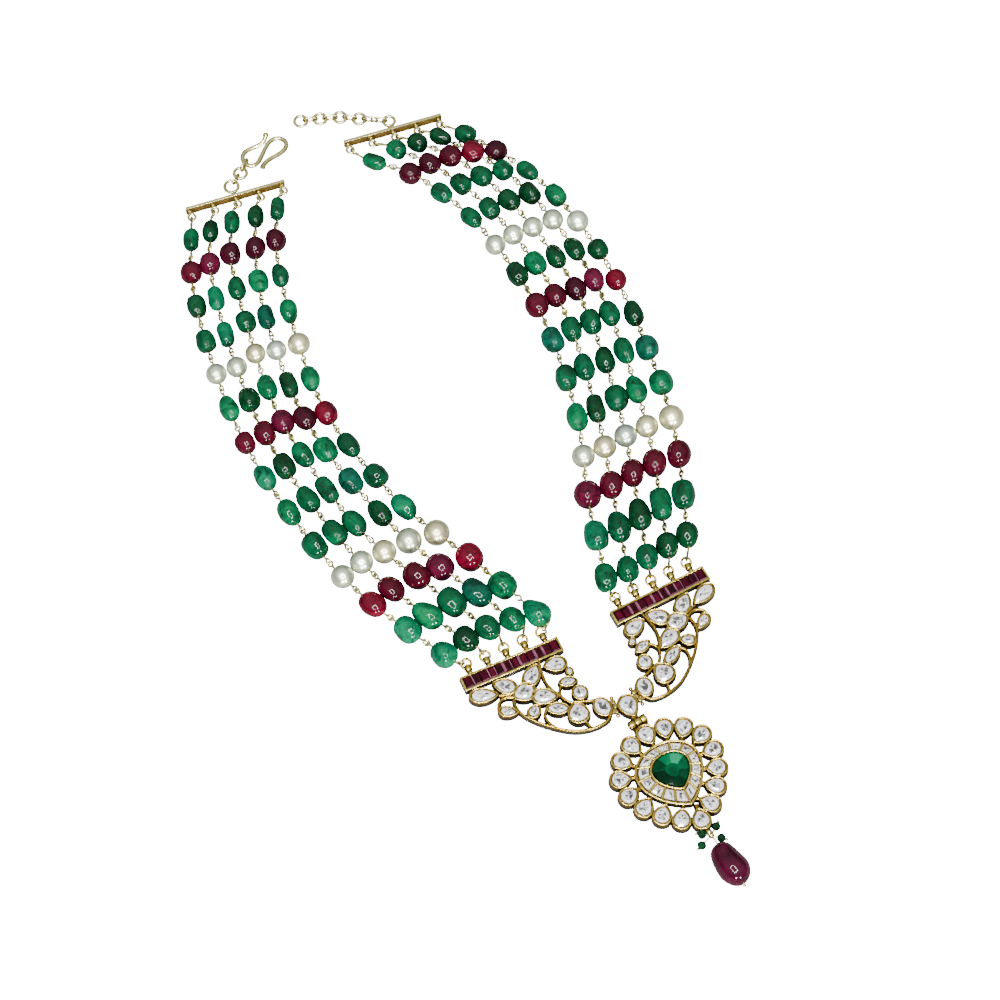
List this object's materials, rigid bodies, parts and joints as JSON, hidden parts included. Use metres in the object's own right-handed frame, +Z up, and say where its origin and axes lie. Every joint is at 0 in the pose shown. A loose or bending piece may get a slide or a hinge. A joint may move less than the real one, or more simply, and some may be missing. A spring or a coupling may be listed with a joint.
{
  "type": "multi-strand necklace",
  "caption": "Necklace of parallel strands of drilled stone beads and pearls between end bars and pierced stone-set panels, with a hinged pendant and an open hook clasp",
  "frame": {"origin": "on the flat back of the centre link, where it rests on the table, under its stone", "axes": "+Y from the centre link towards the clasp, +X to the wearer's left (the right of the picture), +Z up out of the table"},
  "size_m": [0.1612, 0.3536, 0.0112],
  "materials": {
    "gold": "polished yellow gold",
    "green_stone": "polished green stone",
    "red_stone": "polished red stone",
    "clear_stone": "flat-cut clear stone over bright foil",
    "enamel": "green enamel"
  },
  "bodies": {
    "necklace": {"left_end_bar": "gold", "right_end_bar": "gold", "hook": "gold", "hook_ring": "gold", "hook_links": "gold", "chain_rings": "gold", "chain_links": "gold", "left_strand_1": "green_stone", "left_strand_2": "green_stone", "left_strand_3": "green_stone", "left_strand_4": "green_stone", "left_strand_5": "green_stone", "right_strand_1": "green_stone", "right_strand_2": "green_stone", "right_strand_3": "green_stone", "right_strand_4": "green_stone", "right_strand_5": "green_stone", "left_thread_1": "gold", "left_thread_2": "gold", "left_thread_3": "gold", "left_thread_4": "gold", "left_thread_5": "gold", "right_thread_1": "gold", "right_thread_2": "gold", "right_thread_3": "gold", "right_thread_4": "gold", "right_thread_5": "gold", "left_post_rings": "gold", "right_post_rings": "gold", "left_panel": "gold", "right_panel": "gold", "left_panel_enamel": "enamel", "right_panel_enamel": "enamel", "left_panel_stones": "clear_stone", "right_panel_stones": "clear_stone", "left_ruby_row": "red_stone", "right_ruby_row": "red_stone", "centre_link": "gold", "centre_stone": "clear_stone", "bail_pin": "gold"},
    "pendant": {"pendant_frame": "gold", "pendant_enamel": "enamel", "petal_stones": "clear_stone", "ring_stones": "clear_stone", "pendant_emerald": "green_stone", "drop_hanger": "gold", "drop_cluster": "green_stone", "ruby_drop": "red_stone"}
  },
  "joints": [
    {"name": "bail_hinge", "type": "hinge", "parent": "necklace", "child": "pendant", "pos_m": [0, -0.0072, 0.002], "axis": [0.9986, 0.0523, 0], "range_deg": [-70, 70]}
  ]
}
